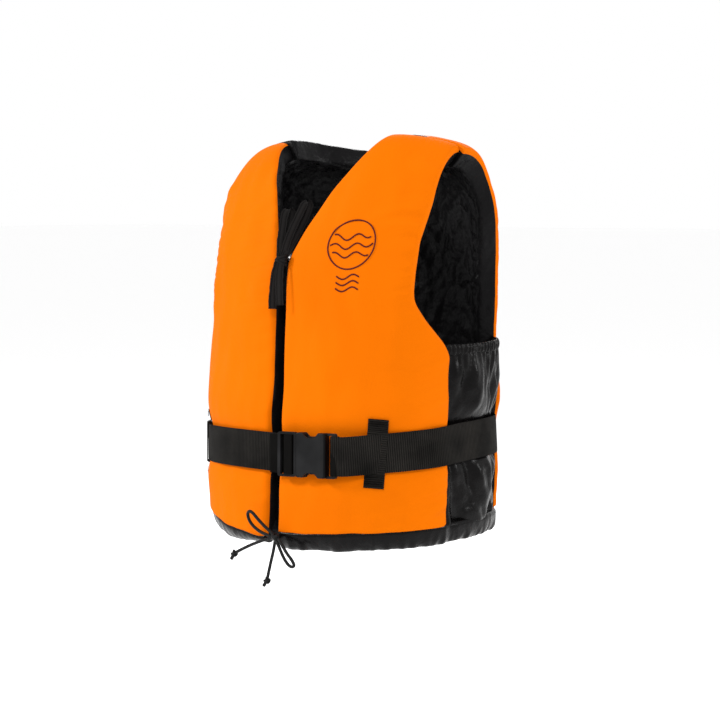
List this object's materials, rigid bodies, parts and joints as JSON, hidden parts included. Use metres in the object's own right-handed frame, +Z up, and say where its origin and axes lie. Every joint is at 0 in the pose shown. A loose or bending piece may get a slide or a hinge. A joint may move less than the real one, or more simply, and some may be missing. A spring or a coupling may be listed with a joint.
{
  "type": "buoyancy vest",
  "caption": "Sleeveless foam buoyancy vest with V neck, front zip, gathered side panels, waist belt with side-release buckle, neck ties and hem drawcord",
  "frame": {"origin": "between the shoulders, at the height where the vest rests on them", "axes": "+X to the wearer's left, -Y out of the chest, +Z up"},
  "size_m": [0.4054, 0.3435, 0.5572],
  "materials": {
    "cover_orange": "plain-woven nylon with a slight sheen",
    "foam": "closed-cell foam sheet",
    "lining_black": "thin crinkled nylon lining",
    "nylon_black": "thin nylon, gathered",
    "elastic_black": "gathered elastic edge",
    "webbing_black": "ribbed polypropylene webbing",
    "tie_tape": "narrow ribbed tape",
    "cord_black": "braided cord",
    "acetal_grey": "satin moulded plastic",
    "zip_teeth": "moulded nylon coil",
    "zip_tape": "woven tape",
    "zip_metal": "die-cast slider and pull"
  },
  "bodies": {
    "vest": {"back_cover": "cover_orange", "back_foam": "foam", "back_hem": "nylon_black", "back_lining": "lining_black", "belt_keeper_back_left": "webbing_black", "belt_keeper_back_right": "webbing_black", "belt_keeper_front_left": "webbing_black", "belt_keeper_front_right": "webbing_black", "belt_socket_loop": "webbing_black", "buckle_socket": "acetal_grey", "drawcord_bow": "cord_black", "drawcord_end_left": "cord_black", "drawcord_end_right": "cord_black", "drawcord_left": "cord_black", "drawcord_right": "cord_black", "front_left_cover": "cover_orange", "front_left_foam": "foam", "front_left_hem": "nylon_black", "front_left_lining": "lining_black", "front_right_cover": "cover_orange", "front_right_foam": "foam", "front_right_hem": "nylon_black", "front_right_lining": "lining_black", "left_side_elastic": "elastic_black", "left_side_hem": "nylon_black", "left_side_panel": "nylon_black", "neck_tie_knot": "tie_tape", "neck_tie_left": "tie_tape", "neck_tie_right": "tie_tape", "right_side_elastic": "elastic_black", "right_side_hem": "nylon_black", "right_side_panel": "nylon_black", "waist_belt": "webbing_black", "zip_bottom_stop": "zip_teeth", "zip_coil_left": "zip_teeth", "zip_coil_right": "zip_teeth", "zip_tape_left": "zip_tape", "zip_tape_right": "zip_tape", "zip_top_stops": "zip_teeth"},
    "plug": {"buckle_plug": "acetal_grey", "belt_fold": "webbing_black"},
    "arm_upper": {"buckle_arm_upper": "acetal_grey"},
    "arm_lower": {"buckle_arm_lower": "acetal_grey"},
    "slider": {"zip_slider": "zip_metal"},
    "pull": {"zip_pull": "zip_metal"}
  },
  "joints": [
    {"name": "buckle_release", "type": "slide", "parent": "vest", "child": "plug", "axis": [-0.9884, -0.1496, -0.0259], "range_m": [0, 0.034]},
    {"name": "arm_upper_flex", "type": "hinge", "parent": "plug", "child": "arm_upper", "pos_m": [0.04269, -0.13134, -0.34923], "axis": [0.1479, -0.9873, 0.058], "range_deg": [-25.13, 0]},
    {"name": "arm_lower_flex", "type": "hinge", "parent": "plug", "child": "arm_lower", "pos_m": [0.04372, -0.13295, -0.37917], "axis": [0.1479, -0.9873, 0.058], "range_deg": [0, 25.13]},
    {"name": "zip_travel", "type": "slide", "parent": "vest", "child": "slider", "axis": [0, 0.0599, 0.9982], "range_m": [-0.257, 0]},
    {"name": "zip_pull_swing", "type": "hinge", "parent": "slider", "child": "pull", "pos_m": [0, -0.09837, -0.18673], "axis": [1, 0, 0], "range_deg": [-40, 0]}
  ],
  "couplings": [
    {"joint": "arm_upper_flex", "follows": "buckle_release", "rad_per_m": -12.9},
    {"joint": "arm_lower_flex", "follows": "buckle_release", "rad_per_m": 12.9}
  ]
}
